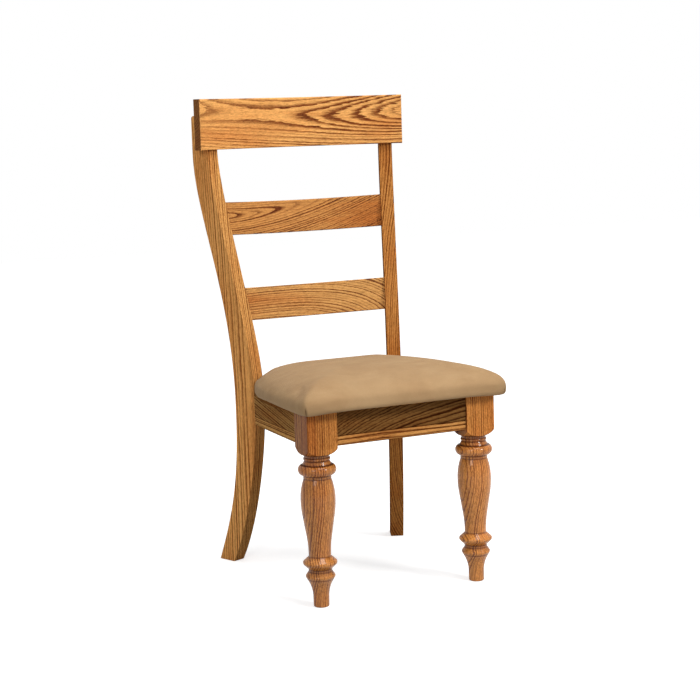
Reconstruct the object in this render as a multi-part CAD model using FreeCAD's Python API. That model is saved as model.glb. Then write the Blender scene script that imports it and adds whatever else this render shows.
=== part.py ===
import FreeCAD, Part
import math
import os

# Ladderback side chair with an upholstered seat. Sizes are millimetres.
# While it is built, X runs across the chair from its middle, Y runs back from the
# centre line of the front legs, and Z runs up from the floor. The front faces minus Y.

V = FreeCAD.Vector
UP = V(0, 0, 1)

# Clearances
GLUE_GAP = 0.15          # round a tenon, screw or plug in its hole
SOFT_GAP = 0.3           # round each fabric or foam piece
FAR = 600.0              # reach of the cutting tools past the chair

# Front legs
LEG_SPREAD = 186.2       # middle of the chair to a front leg's centre
BLOCK_SIDE = 68.0
BLOCK_EASE = 1.5
SHOULDER_FOOT_Z = 323.5  # where the turning begins below the square block
SHOULDER_TOP_Z = 340.0
NECK_R = 27.3
COLLAR_BEAD_Z = 315.5
COLLAR_BEAD_R = 28.4
COLLAR_GROOVE_R = 26.3
COLLAR_GROOVE_HALF = 5.0
RING_Z = 292.5
RING_R = 40.4
RING_HALF = 11.6
RING_ROOT_R = 30.6
FILLET_BAND_R = 29.6
FILLET_BAND_FOOT_Z = 275.0
VASE_Z = 230.0
VASE_R = 36.8
VASE_TAPER = 9.2         # degrees, at the steepest of its lower part
VASE_TAPER_SHARE = 0.48  # of both of its bends, the upper one's part
WAIST_Z = 113.0
WAIST_R = 23.6
VEE_RING_Z = 94.6
VEE_RING_R = 36.2
VEE_RING_HALF = 13.4
VEE_RING_EDGE = 3.8
ANKLE_NECK_R = 24.9
THIN_RING_Z = 65.8
THIN_RING_R = 31.2
THIN_RING_HALF = 10.6
THIN_RING_EDGE = 3.4
COVE_TOP_Z = 59.4
COVE_TOP_R = 28.4
COVE_MIDDLE_R = 19.1
ANKLE_Z = 18.0
ANKLE_R = 17.0
FOOT_R = 16.6
FOOT_EASE = 1.5

# Rear posts: flat boards sawn to an S, turned about Z so that they face the middle
POST_SPREAD = 174.0      # middle of the chair to a post's own line, at the seat
POST_BACK = 351.2        # front leg centre line back to that point
POST_TOE = 22.8          # degrees
POST_THICK = 30.5
POST_TOP_Z = 1030.0
POST_TOP_ROUND = 7.0
POST_FRONT_FLAT = -3.4   # front edge at the seat, measured back along the board
POST_FLAT_FOOT_Z = 322.0
POST_FLAT_TOP_Z = 412.0
POST_SEAT_DEPTH = 61.6
POST_FOOT_SWEEP = 86.8   # how far back the foot's front edge lies
POST_FOOT_DEPTH = 46.4
POST_CREST_SWEEP = 121.2
POST_CREST_DEPTH = 50.4
REAR_EDGE_FLAT_Z = (350.0, 370.0)
REAR_EDGE_STRAIGHT_Z = 948.0

# Crest rail and slats, bent to one radius, with equal gaps between them
CREST_ABOVE_POSTS = 37.0
CREST_HEIGHT = 115.0
CREST_THICK = 22.0
CREST_HALF_CHORD = 254.0
CREST_PROUD = 8.5        # how far its face stands in front of the posts
CREST_HOUSING = 1.0
CREST_EASE = 2.2
BEND_R = 650.0           # the hollow front face, in plan
LADDER_GAP = 119.5
SLAT_HEIGHT = 75.0
SLAT_THICK = 14.0
SLAT_LEAN = 8.0          # degrees from upright
SLAT_SET_IN = 10.0       # behind the posts' front edge
SLAT_EASE = 2.0

# Seat frame. Its top falls towards the back
FRAME_TOP_Z = 416.0      # at the front face of the leg blocks
SEAT_SLOPE = 2.5         # degrees
RAIL_THICK = 22.0
RAIL_INSET = 4.0         # behind the leg blocks' faces
FRONT_RAIL_HEIGHT = 75.0
SIDE_RAIL_HEIGHT = 71.5
REAR_RAIL_HEIGHT = 62.0
REAR_RAIL_BEHIND = 18.0  # its front face behind the posts' own point at the seat
QUIRK_Z = 21.5           # above the rail's bottom edge
QUIRK_DEPTH = 2.4
BEAD_HEIGHT = 8.6
ROUND_RUN = 6.5

# Joints
TENON_THICK = 11.0
TENON_EDGE = 9.0         # tenon's shoulder above and below, on the rails
TENON_LENGTH = 20.0
SLAT_TENON_THICK = 9.0
SLAT_TENON_EDGE = 6.0
SLAT_TENON_LENGTH = 15.0

# Corner blocks and screws
BLOCK_REACH = 50.0
BLOCK_HEIGHT = 38.0
BLOCK_DROP = 1.0         # below the top of the rails
SCREW_R = 2.2
SCREW_HEAD_R = 4.4
SCREW_HEAD = 3.0
SCREW_BITE = 14.0
SEAT_SCREW_BITE = 8.0
PLUG_R = 5.0
PLUG_LENGTH = 8.0
PLUG_HOLE_DEPTH = 12.0
CREST_SCREW_EDGE = 20.0  # from the crest rail's bottom edge and the post's top

# Upholstered seat
DUST_COVER_THICK = 0.8
DUST_COVER_REACH = 9.0   # over the rails' inner edges
COVER_THICK = 1.4
BOARD_THICK = 12.0
SEAT_FRONT = 66.0        # front corners ahead of the leg centre line
SEAT_FRONT_HALF = 238.0
SEAT_FRONT_BOW = 5.0
SEAT_REAR = 384.0
SEAT_REAR_HALF = 184.0
SEAT_SIDE_BOW = 27.0
SEAT_FRONT_CORNER_R = 16.0
SEAT_REAR_CORNER_R = 34.0
SEAT_BAND = 22.0         # height of the upright edge
SEAT_SHOULDER_RISE = 18.0
SEAT_SHOULDER_RUN = 26.0
SEAT_CROWN = 37.0        # rise of the middle above the shoulder
SEAT_FULLNESS = 3.6      # 2 is an even dome, more is flatter in the middle
SEAT_DRAW_IN = 4.0       # sides drawn in at the bottom
SEAT_TURN_UNDER = 34.0   # cover turned in below the board
POST_CLEAR = 1.5         # seat board and foam to the posts

frame_front_y = -BLOCK_SIDE / 2
toe = math.radians(POST_TOE)


def box(x, y, z):
    """A box between two limits on each axis."""
    return Part.makeBox(x[1] - x[0], y[1] - y[0], z[1] - z[0], V(x[0], y[0], z[0]))


def prism(points, bottom, top):
    """An upright prism on a polygon given in plan."""
    loop = [V(x, y, bottom) for x, y in points]
    return Part.Face(Part.makePolygon(loop + loop[:1])).extrude(V(0, 0, top - bottom))


def rod(start, direction, length, radius):
    return Part.makeCylinder(radius, length, start, direction)


def screw(start, direction, length, growth=0.0):
    """A plain-shanked screw whose head lies at start."""
    head = rod(start, direction, SCREW_HEAD, SCREW_HEAD_R + growth)
    return head.fuse(rod(start, direction, length + growth, SCREW_R + growth))


def mirrored(shape):
    return shape.mirror(V(0, 0, 0), V(1, 0, 0))


def frame_top(y, drop=0.0):
    """Height of the sloping seat frame at a distance behind the legs' centres."""
    return FRAME_TOP_Z - drop - (y - frame_front_y) * math.tan(math.radians(SEAT_SLOPE))


def above_frame(drop=0.0):
    """Everything above the seat frame's top, lowered by drop."""
    profile = [V(-FAR, -FAR, frame_top(-FAR, drop)), V(-FAR, FAR, frame_top(FAR, drop)),
               V(-FAR, FAR, 2 * FAR), V(-FAR, -FAR, 2 * FAR)]
    return Part.Face(Part.makePolygon(profile + profile[:1])).extrude(V(2 * FAR, 0, 0))


def on_slope(shape):
    """Lay a piece that was built level onto the sloping seat frame."""
    shape.rotate(V(0, frame_front_y, FRAME_TOP_Z), V(1, 0, 0), -SEAT_SLOPE)
    return shape


# Left post's own frame: v runs across the board from its middle, towards the chair's
# middle, and u runs back along it

def post_point(u, v, z=0.0):
    return V(-POST_SPREAD - u * math.sin(toe) + v * math.cos(toe),
             POST_BACK + u * math.cos(toe) + v * math.sin(toe), z)


def post_direction(u, v):
    return V(-u * math.sin(toe) + v * math.cos(toe), u * math.cos(toe) + v * math.sin(toe), 0)


def to_post(shape):
    """Place a piece built with v on X and u on Y at the left post."""
    shape.rotate(V(0, 0, 0), UP, POST_TOE)
    shape.translate(V(-POST_SPREAD, POST_BACK, 0))
    return shape


def post_side(v):
    """Everything on the outer side of a plane across the left post's thickness."""
    return to_post(box((-FAR, v), (-FAR, FAR), (-FAR, 3 * FAR)))


def behind_post_front(u):
    return to_post(box((-FAR, FAR), (u, FAR), (-FAR, 3 * FAR)))


# Edges of the post's S, as curves in the plane of the board

POST_FRONT_CREST = POST_FRONT_FLAT + POST_CREST_SWEEP
POST_FRONT_FOOT = POST_FRONT_FLAT + POST_FOOT_SWEEP
POST_REAR_SEAT = POST_FRONT_FLAT + POST_SEAT_DEPTH
POST_REAR_CREST = POST_FRONT_CREST + POST_CREST_DEPTH
POST_REAR_FOOT = POST_FRONT_FOOT + POST_FOOT_DEPTH
crest_top_z = POST_TOP_Z + CREST_ABOVE_POSTS
crest_foot_z = crest_top_z - CREST_HEIGHT


def bezier(*poles):
    curve = Part.BezierCurve()
    curve.setPoles([V(0, u, z) for u, z in poles])
    return curve


def back_curve(u0, z0, handle0, u1, z1, handle1):
    """Upright at both ends, leaning back between them."""
    rise = z1 - z0
    return bezier((u0, z0), (u0, z0 + handle0 * rise), (u1, z1 - handle1 * rise), (u1, z1))


def foot_curve(u0, z0, handle0, u1, lean_u, lean_z):
    """Upright at the seat, kicked back at the floor."""
    return bezier((u0, z0), (u0, z0 - handle0 * z0), (u1 - lean_u, lean_z), (u1, 0))


front_back_curve = back_curve(POST_FRONT_FLAT, POST_FLAT_TOP_Z, 0.22,
                              POST_FRONT_CREST, crest_foot_z, 0.204)
rear_back_curve = back_curve(POST_REAR_SEAT, REAR_EDGE_FLAT_Z[1], 0.455,
                             POST_REAR_CREST, REAR_EDGE_STRAIGHT_Z, 0.256)
front_foot_curve = foot_curve(POST_FRONT_FLAT, POST_FLAT_FOOT_Z, 0.062, POST_FRONT_FOOT, 68.8, 119.7)
rear_foot_curve = foot_curve(POST_REAR_SEAT, REAR_EDGE_FLAT_Z[0], 0.487, POST_REAR_FOOT, 40.6, 99.0)


def height_on(curve, z):
    """How far back a rising curve lies at a height, by halving."""
    low, high = 0.0, 1.0
    for _ in range(40):
        middle = (low + high) / 2
        if curve.value(middle).z < z:
            low = middle
        else:
            high = middle
    return curve.value(low).y


# Bent boards

def bend_centre(through):
    """Y of the bend's centre for a front face that passes through a point."""
    return through.y - math.sqrt(BEND_R ** 2 - through.x ** 2)


def bent_board(centre_y, half_chord, thick_from, thick_to, z):
    """A board bent to the chair's radius, hollow to the front, square at its ends."""
    angle = math.asin(half_chord / BEND_R)

    def at(part, reach):
        radius = BEND_R + reach
        return V(radius * math.sin(part * angle), centre_y + radius * math.cos(part * angle), z[0])

    front = Part.Arc(at(-1, thick_from), at(0, thick_from), at(1, thick_from)).toShape()
    back = Part.Arc(at(-1, thick_to), at(0, thick_to), at(1, thick_to)).toShape()
    ends = [Part.makeLine(at(side, thick_from), at(side, thick_to)) for side in (-1, 1)]
    outline = Part.Wire(Part.__sortEdges__([front, back] + ends))
    return Part.Face(outline).extrude(V(0, 0, z[1] - z[0]))


def eased(shape, radius, longer_than):
    """Round the long edges of a board."""
    edges = [edge for edge in shape.Edges if edge.Length > longer_than]
    return shape.makeFillet(radius, edges)


# The crest's back face meets each post at the bottom of the post's notch

crest_centre_y = bend_centre(post_point(POST_FRONT_CREST - CREST_PROUD, 0))


def crest_back_on_post():
    along = post_direction(1, 0)
    start = post_point(0, 0) - V(0, crest_centre_y, 0)
    middle = start.dot(along)
    return -middle + math.sqrt(middle ** 2 - start.dot(start) + (BEND_R + CREST_THICK) ** 2)


NOTCH_U = crest_back_on_post() - CREST_HOUSING


def post_blank():
    """The sawn S with its notch for the crest rail, as a flat board."""
    corner = POST_REAR_CREST - POST_TOP_ROUND
    shoulder = POST_TOP_Z - POST_TOP_ROUND
    diagonal = POST_TOP_ROUND * math.sqrt(0.5)
    round_corner = Part.Arc(V(0, corner, POST_TOP_Z), V(0, corner + diagonal, shoulder + diagonal),
                            V(0, POST_REAR_CREST, shoulder))
    straight = [
        ((POST_FRONT_FLAT, POST_FLAT_FOOT_Z), (POST_FRONT_FLAT, POST_FLAT_TOP_Z)),
        ((POST_FRONT_CREST, crest_foot_z), (NOTCH_U, crest_foot_z)),
        ((NOTCH_U, crest_foot_z), (NOTCH_U, POST_TOP_Z)),
        ((NOTCH_U, POST_TOP_Z), (corner, POST_TOP_Z)),
        ((POST_REAR_CREST, shoulder), (POST_REAR_CREST, REAR_EDGE_STRAIGHT_Z)),
        ((POST_REAR_SEAT, REAR_EDGE_FLAT_Z[1]), (POST_REAR_SEAT, REAR_EDGE_FLAT_Z[0])),
        ((POST_REAR_FOOT, 0), (POST_FRONT_FOOT, 0)),
    ]
    edges = [Part.makeLine(V(0, *a), V(0, *b)) for a, b in straight]
    curves = (front_back_curve, rear_back_curve, front_foot_curve, rear_foot_curve, round_corner)
    edges += [curve.toShape() for curve in curves]
    face = Part.Face(Part.Wire(Part.__sortEdges__(edges)))
    face.translate(V(-POST_THICK / 2, 0, 0))
    return to_post(face.extrude(V(POST_THICK, 0, 0)))


def crest_rail(posts):
    board = bent_board(crest_centre_y, CREST_HALF_CHORD, 0, CREST_THICK, (crest_foot_z, crest_top_z))
    board = eased(board, CREST_EASE, CREST_THICK * 2)
    for post in posts:
        board = board.cut(post)
    return board


# Slats: a bent, leaning board between the posts' inner faces, with stub tenons

upper_slat_z = crest_foot_z - LADDER_GAP - SLAT_HEIGHT / 2
lower_slat_z = upper_slat_z - SLAT_HEIGHT - LADDER_GAP


def slat_blank(middle_z, edge, thick, growth=0.0):
    """A leaning bent board that runs past both posts."""
    end = post_point(height_on(front_back_curve, middle_z) + SLAT_SET_IN, POST_THICK / 2)
    half = SLAT_HEIGHT / 2 - edge + growth
    skin = (SLAT_THICK - thick) / 2 - growth
    board = bent_board(bend_centre(end), CREST_HALF_CHORD, skin, SLAT_THICK - skin,
                       (middle_z - half, middle_z + half))
    if not edge:
        board = eased(board, SLAT_EASE, SLAT_HEIGHT * 2)
    board.rotate(V(0, end.y, middle_z), V(1, 0, 0), -SLAT_LEAN)
    return board


def between_posts(shape, inset):
    """Trim a piece at both posts' inner faces, or inset past them."""
    side = post_side(POST_THICK / 2 - inset)
    return shape.cut(side).cut(mirrored(side))


def slat_tenon(middle_z, growth=0.0):
    blank = slat_blank(middle_z, SLAT_TENON_EDGE, SLAT_TENON_THICK, growth)
    return between_posts(blank, SLAT_TENON_LENGTH + growth)


def slat(middle_z):
    return between_posts(slat_blank(middle_z, 0, SLAT_THICK), 0).fuse(slat_tenon(middle_z)).removeSplitter()


# Rails of the seat frame

def moulded_section(height, origin, inward, up):
    """Section of a rail: a plain face over a quirk, a bead and a rounded bottom edge."""
    def at(depth, rise):
        return origin + inward * depth + up * rise

    bead_foot = QUIRK_Z - BEAD_HEIGHT
    bead = Part.Arc(at(QUIRK_DEPTH, QUIRK_Z), at(0, QUIRK_Z - BEAD_HEIGHT / 2), at(QUIRK_DEPTH, bead_foot))
    lower = Part.Arc(at(QUIRK_DEPTH, bead_foot), at(0.3, bead_foot / 2), at(ROUND_RUN, 0))
    corners = [at(ROUND_RUN, 0), at(RAIL_THICK, 0), at(RAIL_THICK, height), at(0, height),
               at(0, QUIRK_Z + QUIRK_DEPTH / 2), at(QUIRK_DEPTH, QUIRK_Z)]
    edges = Part.makePolygon(corners).Edges + [bead.toShape(), lower.toShape()]
    return Part.Face(Part.Wire(Part.__sortEdges__(edges)))


front_rail_z = FRAME_TOP_Z - FRONT_RAIL_HEIGHT
rail_y = frame_front_y + RAIL_INSET
block_inner_x = LEG_SPREAD - BLOCK_SIDE / 2


def front_tenon(growth=0.0):
    reach = block_inner_x + TENON_LENGTH + growth
    middle = rail_y + RAIL_THICK / 2
    half = TENON_THICK / 2 + growth
    z = (front_rail_z + TENON_EDGE - growth, FRAME_TOP_Z - 2 * TENON_EDGE + growth)
    return box((-reach, reach), (middle - half, middle + half), z)


def front_rail():
    section = moulded_section(FRONT_RAIL_HEIGHT + RAIL_THICK, V(-block_inner_x, rail_y, front_rail_z),
                              V(0, 1, 0), UP)
    board = section.extrude(V(2 * block_inner_x, 0, 0))
    return board.cut(above_frame()).fuse(front_tenon()).removeSplitter()


rear_rail_y = POST_BACK + REAR_RAIL_BEHIND


def rear_tenon(growth=0.0):
    middle = rear_rail_y + RAIL_THICK / 2
    half = TENON_THICK / 2 + growth
    top = frame_top(middle) - TENON_EDGE
    z = (top + 2 * TENON_EDGE - REAR_RAIL_HEIGHT - growth, top + growth)
    return between_posts(box((-FAR, FAR), (middle - half, middle + half), z),
                         SLAT_TENON_LENGTH + growth)


def rear_rail():
    foot = frame_top(rear_rail_y) - REAR_RAIL_HEIGHT
    board = box((-FAR, FAR), (rear_rail_y, rear_rail_y + RAIL_THICK), (foot, FRAME_TOP_Z))
    return between_posts(board.cut(above_frame()), 0).fuse(rear_tenon()).removeSplitter()


# Left side rail: its outer face runs from the inset at the leg to the post's outer corner

rail_start = V(-LEG_SPREAD - BLOCK_SIDE / 2 + RAIL_INSET, BLOCK_SIDE / 2, 0)
rail_end = post_point(POST_FRONT_FLAT, -POST_THICK / 2)
rail_along = (rail_end - rail_start).normalize()
rail_inward = V(rail_along.y, -rail_along.x, 0)


def side_rail_point(y, depth):
    """A point in plan on the left side rail, at a depth behind its outer face."""
    along = (y - rail_start.y - rail_inward.y * depth) / rail_along.y
    return rail_start + rail_along * along + rail_inward * depth


def on_rail(y, below_top):
    """The side rail's outer face at a distance below the frame's top."""
    point = side_rail_point(y, 0)
    return point + V(0, 0, frame_top(point.y, below_top))


rail_run = on_rail(rail_end.y + POST_SEAT_DEPTH, 0) - on_rail(-BLOCK_SIDE / 2, 0)
rail_up = rail_inward.cross(rail_run).normalize()


def side_board():
    foot = on_rail(-BLOCK_SIDE / 2, SIDE_RAIL_HEIGHT)
    board = moulded_section(SIDE_RAIL_HEIGHT, foot, rail_inward, rail_up).extrude(rail_run)
    board = board.cut(box((-FAR, FAR), (-FAR, BLOCK_SIDE / 2), (-FAR, 3 * FAR)))
    return board.cut(behind_post_front(POST_FRONT_FLAT))


def side_tenon(growth=0.0):
    """One bar through the rail that ends as a tenon in the leg and in the post."""
    skin = (RAIL_THICK - TENON_THICK) / 2 - growth
    near = rail_inward * skin
    far = rail_inward * (RAIL_THICK - skin)
    low = on_rail(-BLOCK_SIDE / 2, SIDE_RAIL_HEIGHT - QUIRK_Z + growth)
    high = on_rail(-BLOCK_SIDE / 2, TENON_EDGE - growth)
    loop = [low + near, low + far, high + far, high + near]
    bar = Part.Face(Part.makePolygon(loop + loop[:1])).extrude(rail_run)
    front = BLOCK_SIDE / 2 - TENON_LENGTH - growth
    bar = bar.cut(box((-FAR, FAR), (-FAR, front), (-FAR, 3 * FAR)))
    return bar.cut(behind_post_front(POST_FRONT_FLAT + TENON_LENGTH + growth))


def side_rail():
    return side_board().fuse(side_tenon()).removeSplitter()


# Front leg: everything below the block is turned

def arc(a, b, c):
    return Part.Arc(V(a[0], 0, a[1]), V(b[0], 0, b[1]), V(c[0], 0, c[1])).toShape()


def line(a, b):
    return Part.makeLine(V(a[0], 0, a[1]), V(b[0], 0, b[1]))


def long_ogee(top, foot, taper, share):
    """A hollow-round profile: upright at both ends, with a straight taper between two bends."""
    angle = math.radians(taper)
    drop = top[1] - foot[1]
    radii = (drop * math.tan(angle) - (top[0] - foot[0])) / (1 / math.cos(angle) - 1)

    def bend(start, radius, sense):
        points = []
        for part in (0.5, 1.0):
            turned = angle * part
            points.append((start[0] - sense * radius * (1 - math.cos(turned)),
                           start[1] - sense * radius * math.sin(turned)))
        return points

    upper = bend(top, radii * share, 1)
    lower = bend(foot, radii * (1 - share), -1)
    return [arc(top, upper[0], upper[1]), line(upper[1], lower[1]), arc(lower[1], lower[0], foot)]


def half_ring(z, half, root, radius):
    """A full half-round ring, from its top to its bottom."""
    return [arc((root, z + half), (radius, z), (root, z - half))]


def vee_ring(z, half, root_top, root_foot, radius, edge):
    """A ring of two straight slopes that meet in a rounded edge."""
    shoulder = radius - edge * 0.42
    top = (shoulder, z + edge)
    foot = (shoulder, z - edge)
    return [line((root_top, z + half), top), arc(top, (radius, z), foot), line(foot, (root_foot, z - half))]


def turned_profile():
    """Edges of the turning from the neck under the block down to the floor."""
    bead_top = COLLAR_BEAD_Z + COLLAR_GROOVE_HALF / 2
    bead_foot = COLLAR_BEAD_Z - COLLAR_GROOVE_HALF / 2
    upper_groove = (COLLAR_GROOVE_R, bead_top + 1)
    lower_groove = (COLLAR_GROOVE_R, bead_foot - 1)
    ring_top = RING_Z + RING_HALF
    edges = [line((NECK_R, SHOULDER_FOOT_Z), upper_groove)]
    edges += [arc(upper_groove, (COLLAR_BEAD_R, COLLAR_BEAD_Z), lower_groove)]
    edges += [line(lower_groove, (RING_ROOT_R, ring_top))]
    edges += half_ring(RING_Z, RING_HALF, RING_ROOT_R, RING_R)
    band_top = (FILLET_BAND_R, RING_Z - RING_HALF)
    band_foot = (FILLET_BAND_R, FILLET_BAND_FOOT_Z)
    vase_top = (FILLET_BAND_R - 0.6, FILLET_BAND_FOOT_Z - 1)
    edges += [line((RING_ROOT_R, RING_Z - RING_HALF), band_top), line(band_top, band_foot)]
    edges += [line(band_foot, vase_top)]
    shoulder_rise = vase_top[1] - VASE_Z
    shoulder_fall = VASE_R - vase_top[0]
    vase_middle = (VASE_R - shoulder_fall / 4, VASE_Z + shoulder_rise / 2)
    edges += [arc(vase_top, vase_middle, (VASE_R, VASE_Z))]
    edges += long_ogee((VASE_R, VASE_Z), (WAIST_R, WAIST_Z), VASE_TAPER, VASE_TAPER_SHARE)
    vee_top = VEE_RING_Z + VEE_RING_HALF
    vee_foot = VEE_RING_Z - VEE_RING_HALF
    edges += [line((WAIST_R, WAIST_Z), (WAIST_R, vee_top))]
    edges += vee_ring(VEE_RING_Z, VEE_RING_HALF, WAIST_R, ANKLE_NECK_R, VEE_RING_R, VEE_RING_EDGE)
    thin_top = THIN_RING_Z + THIN_RING_HALF
    edges += [line((ANKLE_NECK_R, vee_foot), (ANKLE_NECK_R, thin_top))]
    shoulder = THIN_RING_R - THIN_RING_EDGE * 0.42
    edge_top = (shoulder, THIN_RING_Z + THIN_RING_EDGE)
    edge_foot = (shoulder, THIN_RING_Z - THIN_RING_EDGE)
    edges += [line((ANKLE_NECK_R, thin_top), edge_top), arc(edge_top, (THIN_RING_R, THIN_RING_Z), edge_foot)]
    cove_top = (COVE_TOP_R, COVE_TOP_Z)
    edges += [line(edge_foot, cove_top)]
    edges += [arc(cove_top, (COVE_MIDDLE_R, (COVE_TOP_Z + ANKLE_Z) / 2), (ANKLE_R, ANKLE_Z))]
    edges += [line((ANKLE_R, ANKLE_Z), (FOOT_R, FOOT_EASE))]
    edges += [line((FOOT_R, FOOT_EASE), (FOOT_R - FOOT_EASE, 0))]
    return edges


def revolved(edges, top, foot):
    """Close a profile on the axis and turn it."""
    ends = [line((0, top[1]), top), line(foot, (0, foot[1])), line((0, foot[1]), (0, top[1]))]
    face = Part.Face(Part.Wire(Part.__sortEdges__(edges + ends)))
    return face.revolve(V(0, 0, 0), UP, 360)


def leg_blank():
    turned = revolved(turned_profile(), (NECK_R, SHOULDER_FOOT_Z), (FOOT_R - FOOT_EASE, 0))
    half = BLOCK_SIDE / 2
    corner = half * math.sqrt(2)
    top = FRAME_TOP_Z + BLOCK_SIDE
    neck = (NECK_R, SHOULDER_FOOT_Z)
    lip = (corner, SHOULDER_TOP_Z)
    bulge = (NECK_R + (corner - NECK_R) * 0.62, SHOULDER_FOOT_Z + (SHOULDER_TOP_Z - SHOULDER_FOOT_Z) * 0.4)
    pommel = revolved([arc(neck, bulge, lip), line(lip, (corner, top))], (corner, top), neck)
    block = box((-half, half), (-half, half), (SHOULDER_FOOT_Z, top))
    upright = [edge for edge in block.Edges if abs(edge.Length - (top - SHOULDER_FOOT_Z)) < 1e-6]
    block = block.makeFillet(BLOCK_EASE, upright).common(pommel)
    leg = block.fuse(turned).removeSplitter()
    leg.translate(V(-LEG_SPREAD, 0, 0))
    return leg.cut(above_frame())


# Corner blocks, in plan, for the left side

rear_front_face_y = rear_rail_y
front_back_face_y = rail_y + RAIL_THICK


def inner_post_corner():
    return post_point(POST_FRONT_FLAT, POST_THICK / 2)


def rail_meets_post():
    """Where the side rail's inner face reaches the post's front face."""
    line_start = side_rail_point(0, RAIL_THICK)
    normal = post_direction(1, 0)
    reach = (post_point(POST_FRONT_FLAT, 0) - line_start).dot(normal) / rail_along.dot(normal)
    return line_start + rail_along * reach


def front_block_plan():
    half = BLOCK_SIDE / 2
    side_near = side_rail_point(half, RAIL_THICK)
    side_far = side_rail_point(half + BLOCK_REACH, RAIL_THICK)
    return [(-block_inner_x + BLOCK_REACH, front_back_face_y), (-block_inner_x, front_back_face_y),
            (-block_inner_x, half), (side_near.x, side_near.y), (side_far.x, side_far.y)]


def rear_block_plan():
    corner = inner_post_corner()
    meets = rail_meets_post()
    far = side_rail_point(meets.y - BLOCK_REACH, RAIL_THICK)
    reach = (rear_front_face_y - corner.y) / math.cos(toe)
    wall = corner + post_direction(reach, 0)
    return [(wall.x + BLOCK_REACH, wall.y), (wall.x, wall.y), (corner.x, corner.y),
            (meets.x, meets.y), (far.x, far.y)]


def block_screws(plan, growth=0.0):
    """Two screws through a corner block, one into each rail, and one up to the seat."""
    first = V(*plan[0], 0)
    last = V(*plan[-1], 0)
    middle = (first + last) * 0.5
    low = frame_top(middle.y) - BLOCK_DROP - BLOCK_HEIGHT * 0.55
    pieces = []
    for end, towards in ((first, V(0, plan[0][1] - middle.y, 0)), (last, V(plan[-1][0] - middle.x, 0, 0))):
        seat = end * 0.72 + middle * 0.28 + V(0, 0, low)
        towards.normalize()
        depth = abs((end - seat).dot(towards))
        start = seat + towards * (depth * 0.35)
        pieces.append((start, towards, depth * 0.65 + SCREW_BITE))
    inside = V(*plan[2], 0)
    centre = middle * 0.62 + inside * 0.38
    foot = frame_top(centre.y) - BLOCK_DROP - BLOCK_HEIGHT + SCREW_HEAD * 0.5
    stack = BLOCK_DROP + BLOCK_HEIGHT + 3 * SOFT_GAP + DUST_COVER_THICK + COVER_THICK + SEAT_SCREW_BITE
    pieces.append((V(centre.x, centre.y, foot), UP, stack))
    return pieces


def corner_block(plan):
    deepest = max(y for _, y in plan)
    foot = frame_top(deepest) - BLOCK_DROP - BLOCK_HEIGHT
    block = prism(plan, foot, FRAME_TOP_Z).cut(above_frame(BLOCK_DROP))
    for start, towards, length in block_screws(plan):
        block = block.cut(screw(start, towards, length, GLUE_GAP))
        block = block.cut(rod(start, towards * -1, BLOCK_REACH, SCREW_HEAD_R + GLUE_GAP))
    return block


# Upholstered seat, built level and then laid on the frame

board_foot_z = FRAME_TOP_Z + 3 * SOFT_GAP + DUST_COVER_THICK + COVER_THICK
cover_foot_z = FRAME_TOP_Z + 2 * SOFT_GAP + DUST_COVER_THICK


seat_middle_y = (SEAT_REAR - SEAT_FRONT) / 2
seat_half = (SEAT_REAR + SEAT_FRONT) / 2


def seat_outline():
    """The seat in plan: bowed front and sides, a straight back and four round corners."""
    front_half = SEAT_FRONT_HALF - SEAT_FRONT_CORNER_R
    rear_half = SEAT_REAR_HALF - SEAT_REAR_CORNER_R
    near = V(SEAT_FRONT_HALF, -SEAT_FRONT + SEAT_FRONT_CORNER_R, 0)
    far = V(SEAT_REAR_HALF, SEAT_REAR - SEAT_REAR_CORNER_R, 0)
    run = far - near
    bulge = (near + far) * 0.5 + V(run.y, -run.x, 0).normalize() * SEAT_SIDE_BOW
    front_corner = corner_arc(V(front_half, -SEAT_FRONT, 0), V(SEAT_FRONT_HALF, -SEAT_FRONT, 0), near)
    rear_corner = corner_arc(far, V(SEAT_REAR_HALF, SEAT_REAR, 0), V(rear_half, SEAT_REAR, 0))
    side = [front_corner, Part.Arc(near, bulge, far).toShape(), rear_corner]
    front = Part.Arc(V(-front_half, -SEAT_FRONT, 0), V(0, -SEAT_FRONT - SEAT_FRONT_BOW, 0),
                     V(front_half, -SEAT_FRONT, 0)).toShape()
    rear = Part.makeLine(V(rear_half, SEAT_REAR, 0), V(-rear_half, SEAT_REAR, 0))
    return Part.Wire(Part.__sortEdges__(side + [mirrored(edge) for edge in side] + [front, rear]))


def corner_arc(start, corner, end):
    """A quarter turn from start to end, bulging towards the corner."""
    middle = (start + end) * 0.5
    return Part.Arc(start, middle + (corner - middle) * (math.sqrt(2) - 1), end).toShape()


def seat_section(inset, z):
    """The seat's outline at a height, drawn in all round."""
    outline = seat_outline()
    outline.scale(1 - inset / seat_half, V(0, seat_middle_y, 0))
    outline.translate(V(0, 0, z))
    return outline


def seat_profile():
    """Inset and height up the pad's side, round its shoulder and over its crown."""
    points = [(SEAT_DRAW_IN, 0), (SEAT_DRAW_IN * 0.25, SEAT_BAND * 0.45), (0, SEAT_BAND)]
    for part in (0.15, 0.3, 0.45, 0.6):
        angle = part * math.pi / 2
        inset = SEAT_SHOULDER_RUN * (1 - math.cos(angle))
        points.append((inset, SEAT_BAND + SEAT_SHOULDER_RISE * math.sin(angle)))
    shoulder_inset, shoulder_z = points[-1]
    for part in (0.97, 0.93, 0.88, 0.81, 0.72, 0.6, 0.45, 0.25):
        inset = seat_half - (seat_half - shoulder_inset) * part
        points.append((inset, shoulder_z + SEAT_CROWN * (1 - part ** SEAT_FULLNESS)))
    return points


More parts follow.
